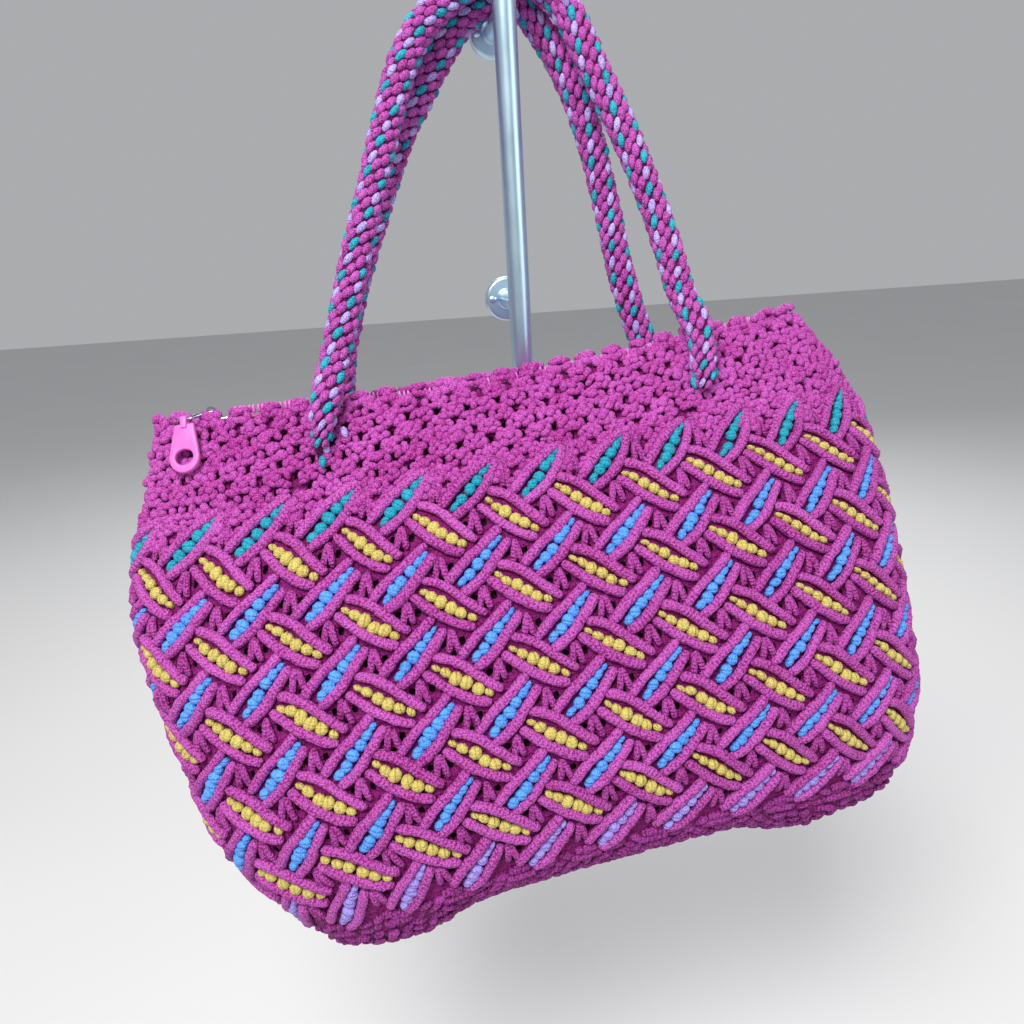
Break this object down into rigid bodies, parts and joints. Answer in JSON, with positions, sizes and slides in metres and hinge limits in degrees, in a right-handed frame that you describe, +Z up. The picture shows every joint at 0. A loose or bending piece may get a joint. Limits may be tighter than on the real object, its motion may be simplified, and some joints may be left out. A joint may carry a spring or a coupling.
{
  "type": "macrame handbag hanging on a door pull bar",
  "caption": "Macrame handbag of knotted cord with leaf-shaped knot lattice, braided rope handles and a zip, hanging from a vertical door pull bar.",
  "frame": {"origin": "centre of the upper rosette's back face, where it lies on the door", "axes": "+Z up, +Y into the door, so the bag hangs in front of the door at minus Y; +X to the right as seen from the front"},
  "size_m": [0.3603, 0.1758, 0.4558],
  "materials": {
    "pink_cord": "satin nylon cord",
    "rope_cord": "satin nylon cord, braided",
    "zip_pink": "woven tape",
    "puller_pink": "glossy",
    "wire_metal": "bright nickel-plated",
    "bar_metal": "polished"
  },
  "bodies": {
    "root": {"bag_body": "pink_cord", "handle_front": "rope_cord", "handle_back": "rope_cord", "zip_tape_front": "zip_pink", "zip_tape_back": "zip_pink", "zip_chain": "zip_pink", "zip_slider": "wire_metal", "zip_wire_loop": "wire_metal", "zip_puller": "puller_pink", "pull_bar": "bar_metal", "post_upper": "bar_metal", "post_lower": "bar_metal", "rosette_upper": "bar_metal", "rosette_lower": "bar_metal", "screw_upper_left": "bar_metal", "screw_upper_right": "bar_metal", "screw_lower_left": "bar_metal", "screw_lower_right": "bar_metal"}
  },
  "joints": []
}
